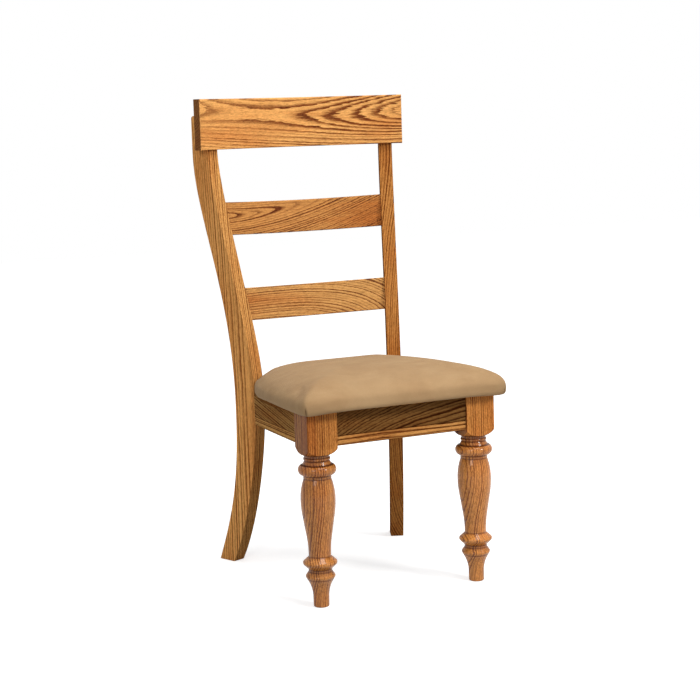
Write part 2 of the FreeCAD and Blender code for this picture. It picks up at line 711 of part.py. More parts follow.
def seat_pad(skin, foot_z):
    """The padded form less a skin of one thickness, from a height upwards."""
    points = seat_profile()
    sections = []
    for index, (inset, rise) in enumerate(points):
        before = points[max(index - 1, 0)]
        after = points[min(index + 1, len(points) - 1)]
        slope = math.atan2(after[0] - before[0], after[1] - before[1])
        lift = foot_z - cover_foot_z if index == 0 else -skin * math.sin(max(slope, 0))
        sections.append(seat_section(inset + skin * math.cos(slope), cover_foot_z + rise + lift))
    solid, ruled = True, True
    return Part.makeLoft(sections, solid, ruled)


def post_notches(clear):
    """Room for both posts at the seat's rear corners."""
    inner = POST_THICK / 2 + clear
    notch = to_post(box((-FAR, inner), (POST_FRONT_FLAT - clear, FAR), (0, 3 * FAR)))
    return [notch, mirrored(notch)]


def notched(shape, clear):
    """Lay a level seat piece on the frame and make room for the posts."""
    on_slope(shape)
    for notch in post_notches(clear):
        shape = shape.cut(notch)
    return shape


def seat_board():
    outline = Part.Face(seat_section(SEAT_DRAW_IN + COVER_THICK + 2 * SOFT_GAP, board_foot_z))
    return notched(outline.extrude(V(0, 0, BOARD_THICK)), POST_CLEAR + COVER_THICK)


def seat_foam():
    foot = board_foot_z + BOARD_THICK + SOFT_GAP
    pad = seat_pad(COVER_THICK + SOFT_GAP, board_foot_z)
    floor = box((-FAR, FAR), (-FAR, FAR), (0, foot))
    return notched(pad.cut(floor), POST_CLEAR + COVER_THICK)


def seat_cover():
    """A skin over the foam and the board's edge, turned in below the board."""
    outer = notched(seat_pad(0, cover_foot_z), POST_CLEAR - SOFT_GAP)
    core = notched(seat_pad(COVER_THICK, board_foot_z - SOFT_GAP), POST_CLEAR + COVER_THICK - SOFT_GAP)
    window = Part.Face(seat_section(SEAT_DRAW_IN + SEAT_TURN_UNDER, cover_foot_z - COVER_THICK))
    opening = notched(window.extrude(V(0, 0, 3 * COVER_THICK)), SEAT_TURN_UNDER)
    return outer.cut(core).cut(opening)


def dust_cover():
    """A thin sheet under the seat board that closes the frame's opening."""
    front = front_back_face_y - DUST_COVER_REACH
    rear = rear_front_face_y + DUST_COVER_REACH
    near = side_rail_point(front, RAIL_THICK - DUST_COVER_REACH)
    far = side_rail_point(rear, RAIL_THICK - DUST_COVER_REACH)
    plan = [(near.x, front), (-near.x, front), (-far.x, rear), (far.x, rear)]
    foot = FRAME_TOP_Z + SOFT_GAP
    sheet = prism(plan, foot, foot + DUST_COVER_THICK)
    return notched(sheet, SOFT_GAP)


def build():
    """Every piece by name, about the front legs' centre line."""
    front_plan = front_block_plan()
    rear_plan = rear_block_plan()
    backwards = post_direction(-1, 0)

    post = post_blank()
    crest = crest_rail([post, mirrored(post)])
    for middle_z in (upper_slat_z, lower_slat_z):
        post = post.cut(slat_tenon(middle_z, GLUE_GAP))
    post = post.cut(rear_tenon(GLUE_GAP)).cut(side_tenon(GLUE_GAP))

    screws = []
    plugs = []
    for z in (crest_foot_z + CREST_SCREW_EDGE, POST_TOP_Z - CREST_SCREW_EDGE):
        mouth = post_point(POST_REAR_CREST, 0, z)
        head = mouth + backwards * PLUG_HOLE_DEPTH
        length = POST_REAR_CREST - PLUG_HOLE_DEPTH - NOTCH_U + SCREW_BITE
        for side in (False, True):
            hole = screw(head, backwards, length, GLUE_GAP)
            piece = screw(head, backwards, length)
            bore = rod(mouth, backwards, PLUG_HOLE_DEPTH, PLUG_R)
            plug = rod(mouth, backwards, PLUG_LENGTH, PLUG_R)
            if side:
                hole = mirrored(hole)
                piece = mirrored(piece)
                plug = mirrored(plug)
            else:
                post = post.cut(bore).cut(hole)
            crest = crest.cut(hole)
            screws.append(piece)
            plugs.append(plug)

    leg = leg_blank().cut(front_tenon(GLUE_GAP)).cut(side_tenon(GLUE_GAP))
    front = front_rail()
    rear = rear_rail()
    side = side_rail()
    seat_layers = {"seat_board": seat_board(), "seat_cover": seat_cover(), "dust_cover": dust_cover()}
    rail_screws = []
    seat_screws = []
    for plan in (front_plan, rear_plan):
        drilled = block_screws(plan)
        for index, (start, towards, length) in enumerate(drilled):
            piece = screw(start, towards, length)
            hole = screw(start, towards, length, GLUE_GAP)
            if index == len(drilled) - 1:
                seat_screws += [piece, mirrored(piece)]
                for name, layer in seat_layers.items():
                    seat_layers[name] = layer.cut(hole).cut(mirrored(hole))
            else:
                rail_screws += [piece, mirrored(piece)]
                side = side.cut(hole)
                front = front.cut(hole).cut(mirrored(hole))
                rear = rear.cut(hole).cut(mirrored(hole))

    pieces = {
        "rear_post_left": post,
        "rear_post_right": mirrored(post),
        "crest_rail": crest,
        "upper_slat": slat(upper_slat_z),
        "lower_slat": slat(lower_slat_z),
        "front_leg_left": leg,
        "front_leg_right": mirrored(leg),
        "front_rail": front,
        "rear_rail": rear,
        "side_rail_left": side,
        "side_rail_right": mirrored(side),
        "seat_foam": seat_foam(),
        "crest_screws": Part.makeCompound(screws),
        "crest_screw_plugs": Part.makeCompound(plugs),
        "corner_block_screws": Part.makeCompound(rail_screws),
        "seat_screws": Part.makeCompound(seat_screws),
    }
    pieces.update(seat_layers)
    for name, plan in (("front", front_plan), ("rear", rear_plan)):
        block = corner_block(plan)
        pieces["corner_block_" + name + "_left"] = block
        pieces["corner_block_" + name + "_right"] = mirrored(block)
    return pieces


def main():
    os.makedirs("parts", exist_ok=True)
    pieces = build()
    bounds = FreeCAD.BoundBox()
    for shape in pieces.values():
        bounds.add(shape.optimalBoundingBox(False, False))
    centre = V(0, -bounds.Center.y, 0)
    for name, shape in pieces.items():
        shape.translate(centre)
        shape.exportStep(os.path.join("parts", name + ".step"))
    print("size", round(bounds.XLength, 1), round(bounds.YLength, 1), round(bounds.ZLength, 1))
    print("front legs stand", round(centre.y, 2), "from the middle of the depth")


main()
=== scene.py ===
import math

import bmesh
import bpy
from mathutils import Matrix, Vector

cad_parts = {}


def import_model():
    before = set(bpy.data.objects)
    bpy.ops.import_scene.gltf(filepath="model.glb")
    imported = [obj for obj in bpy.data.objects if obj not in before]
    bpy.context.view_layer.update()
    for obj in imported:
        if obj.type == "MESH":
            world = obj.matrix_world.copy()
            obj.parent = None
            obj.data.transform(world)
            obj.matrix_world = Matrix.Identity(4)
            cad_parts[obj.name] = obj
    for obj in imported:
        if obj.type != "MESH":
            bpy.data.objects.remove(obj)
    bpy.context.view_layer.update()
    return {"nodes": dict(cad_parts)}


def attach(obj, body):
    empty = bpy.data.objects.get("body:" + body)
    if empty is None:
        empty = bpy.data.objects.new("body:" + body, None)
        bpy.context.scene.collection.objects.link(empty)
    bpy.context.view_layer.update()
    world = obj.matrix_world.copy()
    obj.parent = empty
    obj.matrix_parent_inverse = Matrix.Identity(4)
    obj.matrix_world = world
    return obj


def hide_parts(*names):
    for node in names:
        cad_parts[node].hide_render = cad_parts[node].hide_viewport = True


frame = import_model()
nodes = frame["nodes"]
scene = bpy.context.scene

X = (1, 0, 0)
Z = (0, 0, 1)

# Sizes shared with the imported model, in metres
LEG_SPREAD = 0.1862      # middle of the chair to a front leg's centre
LEGS_Y = -0.22111        # the front legs' centre line
BLOCK_FOOT = 0.3250      # the legs are square above it and turned below
QUIRK = 0.0215           # height of the groove over a rail's moulding
FRAME_TOP = 0.416        # at the front face of the leg blocks
FRAME_FRONT = LEGS_Y - 0.034
SLOPE = math.radians(2.5)
SEAT_FOOT = 0.4174
SEAT_FRONT = 0.066
SEAT_FRONT_HALF = 0.238
SEAT_FRONT_BOW = 0.005
SEAT_REAR = 0.384
SEAT_REAR_HALF = 0.184
SEAT_SIDE_BOW = 0.027
SEAT_FRONT_CORNER = 0.009
SEAT_REAR_CORNER = 0.034
CREASE = 0.0010          # from a front corner's middle to its fold
SEAT_HALF = (SEAT_FRONT + SEAT_REAR) / 2
SEAT_MIDDLE = (SEAT_REAR - SEAT_FRONT) / 2
POST_SPREAD = 0.174
POST_BACK = 0.3512
POST_TOE = math.radians(22.8)
POST_HALF = 0.01525
POST_FRONT = -0.0034
BEND_RADIUS = 0.650
CREST_BEND_Y = -0.3821
UPPER_SLAT_BEND_Y = -0.3950
LOWER_SLAT_BEND_Y = -0.4470

# The cushion's own sizes
BAND = 0.022             # its upright edge
SHOULDER_RISE = 0.018
SHOULDER_RUN = 0.026
SHOULDER_SHARE = 0.6     # of a quarter turn
CROWN = 0.0365
CROWN_FULLNESS = 3.6     # the higher, the flatter is the middle
CORNER_DROP = 0.0060
CORNER_REACH = 0.045
SIDE_LIFT = 0.005
SIDE_TUCK = 0.003
VOXEL = 0.0047
SWELL = 0.003            # the most that the cloth swells
SWELL_REACH = 0.075      # from a front corner, which stays held
NOTCH_GAP = 0.0022
DROOP = 0.0050
FOLD_TOP = 0.022
FOLD_DEPTH = 0.0026
LIP_HEIGHT = 0.0016
CLOTH_FRAMES = 16


# Node trees

class Tree:
    """A material's node tree, with short calls for the nodes that the materials use."""

    def __init__(self, name):
        self.material = bpy.data.materials.new(name)
        self.material.use_nodes = True
        self.tree = self.material.node_tree
        self.tree.nodes.clear()
        self.out = self.add("ShaderNodeOutputMaterial")

    def add(self, kind, **settings):
        node = self.tree.nodes.new(kind)
        for key, value in settings.items():
            setattr(node, key, value)
        return node

    def feed(self, socket, value):
        if isinstance(value, bpy.types.NodeSocket):
            self.tree.links.new(value, socket)
        else:
            socket.default_value = value

    def math(self, operation, *values, clamp=False):
        node = self.add("ShaderNodeMath", operation=operation, use_clamp=clamp)
        for socket, value in zip(node.inputs, values):
            self.feed(socket, value)
        return node.outputs[0]

    def vector(self, operation, a, b):
        node = self.add("ShaderNodeVectorMath", operation=operation)
        self.feed(node.inputs[0], a)
        self.feed(node.inputs[1], b)
        return node.outputs["Value"] if operation in ("DOT_PRODUCT", "LENGTH") else node.outputs[0]

    def combine(self, x, y, z):
        node = self.add("ShaderNodeCombineXYZ")
        for socket, value in zip(node.inputs, (x, y, z)):
            self.feed(socket, value)
        return node.outputs[0]

    def noise(self, vector, scale=1.0, detail=2.0, rough=0.5, distortion=0.0):
        node = self.add("ShaderNodeTexNoise")
        self.feed(node.inputs["Vector"], vector)
        node.inputs["Scale"].default_value = scale
        node.inputs["Detail"].default_value = detail
        node.inputs["Roughness"].default_value = rough
        node.inputs["Distortion"].default_value = distortion
        return node.outputs[0]

    def ramp(self, value, stops):
        node = self.add("ShaderNodeValToRGB")
        self.feed(node.inputs[0], value)
        band = node.color_ramp
        while len(band.elements) < len(stops):
            band.elements.new(0.5)
        for element, (place, colour) in zip(band.elements, stops):
            element.position = place
            element.color = (*colour, 1)
        return node.outputs[0]

    def steps(self, value, low, high, smooth=True):
        """0 at low and 1 at high."""
        node = self.add("ShaderNodeMapRange", clamp=True)
        node.interpolation_type = "SMOOTHSTEP" if smooth else "LINEAR"
        self.feed(node.inputs["Value"], value)
        node.inputs["From Min"].default_value = low
        node.inputs["From Max"].default_value = high
        return node.outputs["Result"]

    def tinted(self, colour, tint):
        return self.mix(1.0, colour, tint, "MULTIPLY")

    def falling(self, value, low, high):
        """1 at low and 0 at high."""
        return self.math("SUBTRACT", 1.0, self.steps(value, low, high))

    def mix(self, factor, a, b, blend="MIX"):
        node = self.add("ShaderNodeMix", data_type="RGBA", blend_type=blend)
        self.feed(node.inputs[0], factor)
        self.feed(node.inputs[6], a)
        self.feed(node.inputs[7], b)
        return node.outputs[2]

    def shader(self, colour, roughness, height=None, depth=0.0002, **settings):
        node = self.add("ShaderNodeBsdfPrincipled")
        self.feed(node.inputs["Base Color"], colour)
        self.feed(node.inputs["Roughness"], roughness)
        for key, value in settings.items():
            self.feed(node.inputs[key.replace("_", " ")], value)
        if height is not None:
            bump = self.add("ShaderNodeBump")
            bump.inputs["Distance"].default_value = depth
            bump.inputs["Strength"].default_value = 1.0
            self.feed(bump.inputs["Height"], height)
            self.feed(node.inputs["Normal"], bump.outputs[0])
        self.feed(self.out.inputs["Surface"], node.outputs[0])
        return self.material


def rgb(red, green, blue):
    """A colour given as it looks on screen, 0 to 255."""
    def linear(value):
        value /= 255
        return value / 12.92 if value < 0.04045 else ((value + 0.055) / 1.055) ** 2.4
    return linear(red), linear(green), linear(blue)


def shade(colour, gain, warmth=0.0):
    """The same colour, brighter or darker, and warmer or cooler."""
    return colour[0] * gain * (1 + warmth), colour[1] * gain, colour[2] * gain * (1 - warmth)


LIGHT_WOOD = rgb(225, 161, 91)
MIDDLE_WOOD = rgb(198, 124, 62)
DARK_WOOD = rgb(132, 66, 26)
PORE = rgb(66, 30, 12)


def oak(name, along, up, origin, pith, spacing, bend=None, gain=1.0, warmth=0.0,
        contrast=(1.0, 0.0), wave=1.0, ragged=1.0, gloss=0.06, groove_stain_and_shade=(), painted_moulding_light=None,
        face=None, speckle=0.35, seed=0.0):
    """Flat-sawn oak: rings round a pith that lies off the board and drifts along it.

    pith gives its depth behind the face and its height on it, each as a constant, a slope
    and a curve along the grain, and spacing is from ring to ring. bend is the Y of the centre
    that a bent board curves round. contrast is a constant and a slope along the grain. wave
    sets how much the figure wanders, ragged how torn its edges are. groove_stain_and_shade
    gives heights at which the wood is drawn darker, each with its reach and its depth: finish
    gathered in a turned groove, and painted shade in it. painted_moulding_light is how much
    paler a rail's straight-grained moulding is painted, as painted light. speckle adds fine
    pores. face is a direction, how much darker (painted shade) or paler (painted light) the
    faces are painted that look that way, and the height from which this holds; under that
    height the wood is turned and polished."""
    t = Tree(name)
    place = t.add("ShaderNodeTexCoord").outputs["Object"]
    local = t.vector("SUBTRACT", place, Vector(origin))
    s = t.vector("DOT_PRODUCT", local, Vector(along))
    h = t.vector("DOT_PRODUCT", local, Vector(up))
    if bend is None:
        d = t.vector("DOT_PRODUCT", local, Vector(along).cross(Vector(up)))
    else:
        arm = t.vector("MULTIPLY", t.vector("SUBTRACT", place, Vector((0, bend, 0))), Vector((1, 1, 0)))
        d = t.math("SUBTRACT", BEND_RADIUS, t.vector("LENGTH", arm, Vector((0, 0, 0))))
    offset = Vector((seed, seed * 1.7, seed * 0.6))
    board = t.combine(s, h, d)

    def grain(along_scale, across_scale, detail=2.0, rough=0.5):
        scaled = t.vector("MULTIPLY", board, Vector((along_scale, across_scale, across_scale)))
        return t.noise(t.vector("ADD", scaled, offset), detail=detail, rough=rough)

    def centred(value, reach):
        return t.math("MULTIPLY", t.math("SUBTRACT", value, 0.5), reach)

    # Where a ring crosses the grain its edge is torn into long teeth
    fibres = grain(22, 300, 3.0, 0.6)
    torn = t.math("ADD", s, centred(fibres, 0.030 * ragged))
    if painted_moulding_light:
        panel = t.steps(h, QUIRK - 0.0006, QUIRK + 0.0006)
        torn = t.math("MULTIPLY", torn, panel)
    wander = t.math("ADD", centred(grain(4.5, 15), 0.012 * wave), centred(grain(26, 80), 0.0022 * wave))

    def quadratic(constant, slope, curve):
        bow = t.math("MULTIPLY", t.math("MULTIPLY", torn, torn), curve)
        return t.math("ADD", t.math("ADD", t.math("MULTIPLY", torn, slope), constant), bow)

    depth = t.math("ADD", t.math("ADD", quadratic(*pith[0]), d), wander)
    height = t.math("ADD", t.math("SUBTRACT", h, quadratic(*pith[1])), wander)
    squares = t.math("ADD", t.math("MULTIPLY", depth, depth), t.math("MULTIPLY", height, height))
    radius = t.math("SQRT", squares)
    rings = t.math("ADD", t.math("DIVIDE", radius, spacing), centred(grain(30, 420, 2.0), 0.30 * ragged))
    uneven = t.noise(t.combine(t.math("MULTIPLY", rings, 0.7), seed, 0), detail=1.0)
    rings = t.math("ADD", rings, t.math("MULTIPLY", uneven, 1.2))
    ring = t.math("FRACT", rings)
    year = t.noise(t.combine(t.math("MULTIPLY", t.math("FLOOR", rings), 3.37), seed, 0), detail=0.0)
    strength = t.steps(year, 0.28, 0.62)

    # A year starts with a dark band of open pores and fades into dense pale wood
    early = t.math("MULTIPLY", t.falling(ring, 0.10, 0.62), t.steps(ring, 0.0, 0.06))
    early = t.math("MULTIPLY", early, t.math("ADD", t.math("MULTIPLY", strength, 0.72), 0.28))
    patchy = t.math("ADD", t.math("MULTIPLY", grain(9, 60, 3.0), 1.1), 0.45)
    deepening = t.math("ADD", t.math("MULTIPLY", s, contrast[1]), contrast[0])
    early = t.math("MULTIPLY", t.math("MULTIPLY", early, patchy), deepening, clamp=True)
    tint = grain(3.2, 18, 3.0)
    pale = t.ramp(tint, [(0.28, shade(MIDDLE_WOOD, 1.10)), (0.50, LIGHT_WOOD),
                         (0.74, shade(LIGHT_WOOD, 1.08, -0.05))])
    dark = t.ramp(fibres, [(0.30, shade(DARK_WOOD, 0.72)), (0.50, DARK_WOOD),
                           (0.72, shade(MIDDLE_WOOD, 0.72))])
    colour = t.mix(early, pale, dark)

    # Pores are dark dashes, thick in the early wood and scattered in the rest
    dashes = grain(130, 1500, 2.0)
    crowd = t.math("SUBTRACT", 0.66, t.math("MULTIPLY", early, 0.20))
    holes = t.math("MULTIPLY", t.math("SUBTRACT", dashes, crowd), 9.0, clamp=True)
    colour = t.mix(t.math("MULTIPLY", holes, 0.75), colour, (*PORE, 1))
    flecks = t.ramp(grain(75, 470, 3.0, 0.65), [(0.33, (0.74, 0.68, 0.62)), (0.50, (1, 1, 1)),
                                                (0.68, (1.16, 1.15, 1.12))])
    colour = t.tinted(colour, flecks)
    dots = t.ramp(grain(190, 620, 3.0, 0.7), [(0.36, (0.52, 0.42, 0.34)), (0.52, (1, 1, 1)),
                                              (0.68, (1.22, 1.18, 1.12))])
    colour = t.mix(speckle, colour, t.tinted(colour, dots))
    lines = t.ramp(grain(7, 240, 2.0), [(0.32, (0.86, 0.83, 0.80)), (0.55, (1.0, 1.0, 1.0)),
                                        (0.75, (1.06, 1.05, 1.03))])
    colour = t.tinted(colour, lines)

    # End grain drinks more stain
    normal = t.add("ShaderNodeNewGeometry").outputs["Normal"]
    facing = t.math("ABSOLUTE", t.vector("DOT_PRODUCT", normal, Vector(along)))
    colour = t.mix(t.steps(facing, 0.78, 0.93), colour, t.tinted(colour, (0.34, 0.27, 0.22, 1)))
    colour = t.tinted(colour, (*shade((1, 1, 1), gain, warmth), 1))
    polish = gloss
    # Faces that look along the given direction are painted darker or paler above the given height: painted
    # shade on the legs' square blocks, painted light on the left post's outer face.
    if face:
        direction, change, level = face
        above = t.steps(s, level, level + 0.002)
        painted_face_mask = t.math("ABSOLUTE", t.vector("DOT_PRODUCT", normal, Vector(direction)))
        painted_face_mask = t.math("MULTIPLY", t.steps(painted_face_mask, 0.80, 0.92), above)
        colour = t.mix(painted_face_mask, colour, t.tinted(colour, (change, change, change, 1)))
        polish = t.math("MULTIPLY", t.math("SUBTRACT", 1.0, above), gloss)
    # The moulding is painted paler than the panel: painted light where it catches the lamps that the panel
    # is shaded from.
    if painted_moulding_light:
        colour = t.mix(panel, t.tinted(colour, (painted_moulding_light, painted_moulding_light, painted_moulding_light, 1)), colour)
        groove_stain_and_shade = [(QUIRK, 0.0022, 0.85), (QUIRK - 0.0086, 0.0018, 0.8)]
    # Darker bands at given heights, and on a rail at its moulding's grooves: finish gathered there, and
    # painted shade in the grooves.
    for level, reach, amount in groove_stain_and_shade:
        away = t.math("ABSOLUTE", t.math("SUBTRACT", h if painted_moulding_light else s, level))
        stain_and_shade = t.math("MULTIPLY", t.falling(away, 0.0, reach), amount)
        colour = t.mix(stain_and_shade, colour, t.tinted(colour, (0.30, 0.20, 0.14, 1)))
    rough = t.math("ADD", 0.42, t.math("MULTIPLY", holes, 0.30))
    relief = t.math("SUBTRACT", t.math("MULTIPLY", fibres, 0.3), holes)
    return t.shader(colour, rough, relief, 0.00010, Coat_Weight=polish, Coat_Roughness=0.10,
                    Coat_IOR=1.4, Specular_IOR_Level=0.06 if gloss else 0.0)


def paint(node, material):
    mesh = nodes[node].data
    if not mesh.materials:
        mesh.materials.append(material)
    for index in range(len(mesh.materials)):
        mesh.materials[index] = material


def post_axis(side):
    """Unit vector back along the left (-1) or right (1) post's board."""
    return side * math.sin(POST_TOE), math.cos(POST_TOE), 0


# Heights on the turned legs, how far each reaches and how dark the wood is drawn there: finish gathered in
# the grooves, and painted shade in them and under the block.
NECK_AND_RINGS = [(0.3165, 0.0130, 0.35), (0.0790, 0.0080, 0.30)]
GROOVES = [(0.3235, 0.0028, 0.70), (0.3190, 0.0030, 0.85), (0.3120, 0.0030, 0.85),
           (0.3045, 0.0028, 0.85), (0.2809, 0.0030, 0.80), (0.2745, 0.0030, 0.75),
           (0.1085, 0.0034, 0.75), (0.0812, 0.0032, 0.85), (0.0764, 0.0028, 0.80),
           (0.0600, 0.0030, 0.75)]

paint("crest_rail", oak("crest oak", X, Z, (0, 0, 1.0095),
                        ((0.0508, -0.0475, -0.25), (0.0150, -0.03, 0.22)), 0.0058,
                        bend=CREST_BEND_Y, gain=1.07, warmth=-0.04, contrast=(1.05, 1.75),
                        wave=0.45, ragged=1.5, gloss=0.03, seed=3.1))
paint("upper_slat", oak("upper slat oak", X, Z, (0, 0, 0.795),
                        ((0.026, 0.10, 0.0), (0.022, 0.20, 0.6)), 0.0046,
                        bend=UPPER_SLAT_BEND_Y, gain=0.67, warmth=0.07, contrast=(1.2, 0.0),
                        wave=0.5, ragged=0.28, gloss=0.02, seed=7.7))
paint("lower_slat", oak("lower slat oak", X, Z, (0, 0, 0.6005),
                        ((0.02, 0.25, 0.9), (-0.09, 0.0, 0.0)), 0.0052,
                        bend=LOWER_SLAT_BEND_Y, gain=0.88, warmth=-0.07, contrast=(1.1, 0.0),
                        wave=0.5, ragged=0.25, gloss=0.02, seed=12.4))

for side, word in ((-1, "left"), (1, "right")):
    on_right = side > 0
    # The legs' square blocks are painted darker on the faces that look along X: painted shade on their
    # sides.
    paint("front_leg_" + word, oak("leg oak " + word, Z, (0.5, 0.866, 0),
                                   (side * LEG_SPREAD, LEGS_Y, 0),
                                   ((0.060, 0.10, -0.1), (side * 0.012, 0.12, -0.2)), 0.0052,
                                   gain=(0.68, 0.78)[on_right], warmth=0.16, contrast=(0.85, 0.0),
                                   wave=1.3, gloss=0.5, groove_stain_and_shade=NECK_AND_RINGS + GROOVES,
                                   face=(X, 0.66, BLOCK_FOOT), speckle=0.7, seed=20 + side * 2.3))

    # Painted light and shade on the posts: the left post's outward broad face is painted paler, and the
    # right post is painted darker and warmer all over.
    outward = (-math.cos(POST_TOE), side * math.sin(POST_TOE), 0)
    paint("rear_post_" + word, oak("post oak " + word, Z, post_axis(side),
                                   (side * POST_SPREAD, LEGS_Y + POST_BACK, 0.5),
                                   ((0.11, 0.0, 0.0), (-0.02, 0.03, 0.04)), 0.0050,
                                   gain=(0.86, 0.56)[on_right], warmth=(-0.03, 0.14)[on_right],
                                   contrast=(1.0, 0.0), wave=0.35, ragged=0.5, gloss=0.0,
                                   face=(outward, (1.46, 1.0)[on_right], -1.0),
                                   seed=31 + side * 4.1))

    run = Vector((-side * 0.0294, 0.3082, -0.0135)).normalized()
    rise = (Vector(Z) - run * run.z).normalized()
    # The side rails' mouldings are painted paler than their panels: painted light.
    paint("side_rail_" + word, oak("side rail oak " + word, run, rise,
                                   (side * 0.2, LEGS_Y + 0.19, 0.3347),
                                   ((0.05, 0.05, 0.0), (0.125, 0.10, 0.0)), 0.0048,
                                   gain=0.67, warmth=-0.13, contrast=(1.2, 0.0), wave=0.5,
                                   ragged=0.4, gloss=0.0, painted_moulding_light=1.6, seed=41 + side * 3.3))

# The front rail is painted much darker all over: painted shade from the cushion that overhangs it; its
# moulding is painted paler again, as painted light.
paint("front_rail", oak("front rail oak", X, Z, (0, LEGS_Y, 0.341),
                        ((0.018, 0.0, 0.0), (-0.028, 0.30, -0.6)), 0.0060,
                        gain=0.30, contrast=(1.25, 0.0), wave=0.9, ragged=0.3, gloss=0.0,
                        painted_moulding_light=3.0, seed=52.0))
paint("rear_rail", oak("rear rail oak", X, Z, (0, LEGS_Y + 0.38, 0.37),
                       ((0.05, 0.02, 0.0), (0.08, 0.03, 0.0)), 0.0050,
                       gain=0.7, wave=0.5, seed=57.0))
paint("crest_screw_plugs", oak("plug oak", (0, -1, 0), Z, (0, 0.25, 1.0),
                               ((0.05, 0, 0), (0.02, 0, 0)), 0.0040, gain=0.9, seed=63.0))
block_wood = oak("block wood", X, Z, (0, 0, 0.39), ((0.07, 0, 0), (0.05, 0.1, 0)), 0.0060,
                 warmth=-0.12, contrast=(0.35, 0.0), wave=0.6, gloss=0.0, seed=71.0)
for node in ("corner_block_front_left", "corner_block_front_right", "corner_block_rear_left",
             "corner_block_rear_right", "seat_board"):
    paint(node, block_wood)


def steel():
    t = Tree("zinc screw steel")
    place = t.add("ShaderNodeTexCoord").outputs["Object"]
    grain = t.noise(place, 900, 3)
    colour = t.ramp(grain, [(0.3, (0.42, 0.42, 0.41)), (0.7, (0.62, 0.61, 0.58))])
    return t.shader(colour, t.steps(grain, -0.6, 2.2, False), grain, 0.00005, Metallic=1.0)


screw_steel = steel()
for node in ("crest_screws", "corner_block_screws", "seat_screws"):
    paint(node, screw_steel)


def dust_cloth():
    t = Tree("black dust cloth")
    place = t.add("ShaderNodeTexCoord").outputs["Object"]
    warp = t.math("SINE", t.math("MULTIPLY", t.vector("DOT_PRODUCT", place, Vector(X)), 4200.0))
    weft = t.math("SINE", t.math("MULTIPLY", t.vector("DOT_PRODUCT", place, Vector((0, 1, 0))), 4200.0))
    weave = t.math("MULTIPLY", warp, weft)
    fluff = t.noise(place, 260, 4)
    colour = t.ramp(fluff, [(0.3, (0.010, 0.010, 0.011)), (0.75, (0.040, 0.040, 0.042))])
    return t.shader(colour, 0.9, weave, 0.0001, Specular_IOR_Level=0.15)


paint("dust_cover", dust_cloth())


def cover_cloth():
    """Short-napped tan cloth: brushed light and dark patches over a fine twill, with a painted shadow line
    along the fold at each front corner.
    """
    t = Tree("tan brushed cloth")
    place = t.add("ShaderNodeTexCoord").outputs["Object"]
    stretched = t.vector("MULTIPLY", place, Vector((9, 14, 14)))
    brushed = t.noise(stretched, detail=4.0, rough=0.55, distortion=0.6)
    patches = t.noise(place, 34, 3)
    nap = t.noise(place, 1500, 2)
    twill = t.math("SINE", t.math("MULTIPLY", t.vector("DOT_PRODUCT", place, Vector((1, 0.8, 0.9))), 5200.0))
    colour = t.ramp(brushed, [(0.28, rgb(163, 129, 91)), (0.52, rgb(171, 138, 99)),
                              (0.76, rgb(179, 147, 108))])
    colour = t.tinted(colour, t.ramp(patches, [(0.3, (0.95, 0.95, 0.94)), (0.7, (1.03, 1.03, 1.03))]))
    colour = t.tinted(colour, t.ramp(nap, [(0.3, (0.90, 0.90, 0.89)), (0.7, (1.06, 1.06, 1.06))]))
    # A painted shadow line: dark brown along each front corner's fold, on the upright band near the corner.
    for side in (-1, 1):
        tip = tilt(side * SEAT_FRONT_HALF, -SEAT_FRONT, SEAT_FOOT)
        local = t.vector("SUBTRACT", place, tip)
        across = t.vector("DOT_PRODUCT", local, Vector((-1, -side, 0)).normalized())
        reach = t.math("ABSOLUTE", t.math("SUBTRACT", across, CREASE))
        inward = t.vector("DOT_PRODUCT", local, Vector((-side, 1, 0)).normalized())
        level = t.vector("DOT_PRODUCT", local, Vector(Z))
        painted_fold_shadow = t.falling(reach, 0.0004, 0.0018)
        painted_fold_shadow = t.math("MULTIPLY", painted_fold_shadow, t.falling(inward, 0.018, 0.024))
        painted_fold_shadow = t.math("MULTIPLY", painted_fold_shadow, t.falling(level, 0.009, 0.017))
        colour = t.mix(t.math("MULTIPLY", painted_fold_shadow, 0.75), colour, (0.10, 0.055, 0.022, 1))
    relief = t.math("ADD", nap, t.math("MULTIPLY", twill, 0.25))
    return t.shader(colour, 0.86, relief, 0.0003, Specular_IOR_Level=0.2, Sheen_Weight=0.10,
                    Sheen_Roughness=0.45, Sheen_Tint=(1.0, 0.88, 0.70, 1.0))


# The upholstered seat

def arc_points(start, through, end, count):
    """Points along a circular arc, the end left out."""
    ax, ay = start
    bx, by = through
    cx, cy = end
    double = 2 * (ax * (by - cy) + bx * (cy - ay) + cx * (ay - by))
    a, b, c = ax * ax + ay * ay, bx * bx + by * by, cx * cx + cy * cy
    ux = (a * (by - cy) + b * (cy - ay) + c * (ay - by)) / double
    uy = (a * (cx - bx) + b * (ax - cx) + c * (bx - ax)) / double
    radius = math.hypot(ax - ux, ay - uy)
    first = math.atan2(ay - uy, ax - ux)
    turn = math.atan2(cy - uy, cx - ux) - first
    turn = (turn + math.pi) % (2 * math.pi) - math.pi
    angles = [first + turn * i / count for i in range(count)]
    return [(ux + radius * math.cos(angle), uy + radius * math.sin(angle)) for angle in angles]


